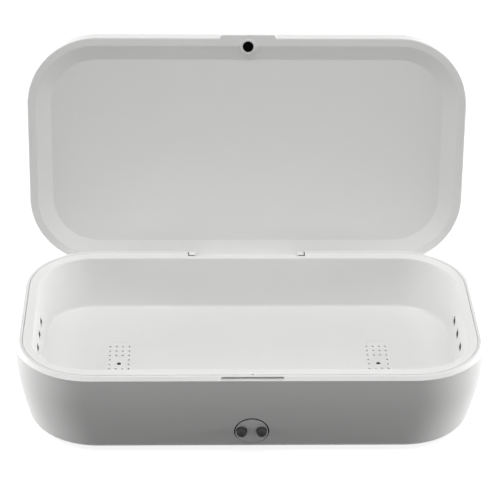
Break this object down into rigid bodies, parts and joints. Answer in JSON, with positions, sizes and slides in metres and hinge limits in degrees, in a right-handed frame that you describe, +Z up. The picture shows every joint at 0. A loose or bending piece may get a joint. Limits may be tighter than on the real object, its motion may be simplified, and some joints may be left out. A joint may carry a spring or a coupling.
{
  "type": "uv sanitizer box for phones",
  "caption": "Low rounded plastic box with a hinged lid, a lit tray for a phone, lamp windows, and a round front insert with two push buttons.",
  "frame": {"origin": "on the table under the middle of the base, in the plane of the rubber ring's underside", "axes": "+Z up, -Y towards the user at the front, +Y towards the hinge, +X to the right as the user sees it"},
  "size_m": [0.22, 0.1504, 0.1522],
  "materials": {
    "white_shell": "fine satin moulded ABS",
    "white_tray": "smooth moulded ABS",
    "white_cover": "fine matt moulded ABS",
    "grey_buttons": "satin moulded ABS",
    "dark_rubber": "matt moulded rubber",
    "steel": "zinc plated",
    "bracket": "moulded acetal",
    "board_green": "solder mask on glass epoxy",
    "black_parts": "moulded epoxy",
    "lamp_parts": "clear epoxy lens over a dark die",
    "cable_grey": "flat cable insulation",
    "magnet": "nickel plated magnet"
  },
  "bodies": {
    "base": {"outer_shell": "white_shell", "inner_tray": "white_tray", "bottom_cover": "white_cover", "rubber_ring": "dark_rubber", "cover_screws": "steel", "main_board": "board_green", "board_screws": "steel", "board_chips": "black_parts", "power_inlet": "steel", "button_switches": "black_parts", "button_insert": "white_shell", "floor_lamp_board_left": "board_green", "floor_lamp_board_right": "board_green", "floor_lamp_left": "lamp_parts", "floor_lamp_right": "lamp_parts", "side_lamp_board_left": "board_green", "side_lamp_board_right": "board_green", "side_lamps_left": "lamp_parts", "side_lamps_right": "lamp_parts", "ribbon_cables": "cable_grey", "lid_sensor": "black_parts", "hinge_bracket": "bracket", "bracket_screws": "steel", "hinge_pin": "steel"},
    "lid": {"lid_cover": "white_shell", "lid_panel": "white_tray", "lid_bumper": "dark_rubber", "lid_magnet": "magnet"},
    "power_button": {"power_button": "grey_buttons"},
    "mode_button": {"mode_button": "grey_buttons"}
  },
  "joints": [
    {"name": "lid_hinge", "type": "hinge", "parent": "base", "child": "lid", "pos_m": [0, 0.057, 0.0364], "axis": [1, 0, 0], "range_deg": [0, 97]},
    {"name": "power_button_push", "type": "slide", "parent": "base", "child": "power_button", "axis": [0, 0.9824, 0.1866], "range_m": [0, 0.0008], "stiffness_N_per_m": 800, "springref_m": -0.0004},
    {"name": "mode_button_push", "type": "slide", "parent": "base", "child": "mode_button", "axis": [0, 0.9824, 0.1866], "range_m": [0, 0.0008], "stiffness_N_per_m": 800, "springref_m": -0.0004}
  ]
}
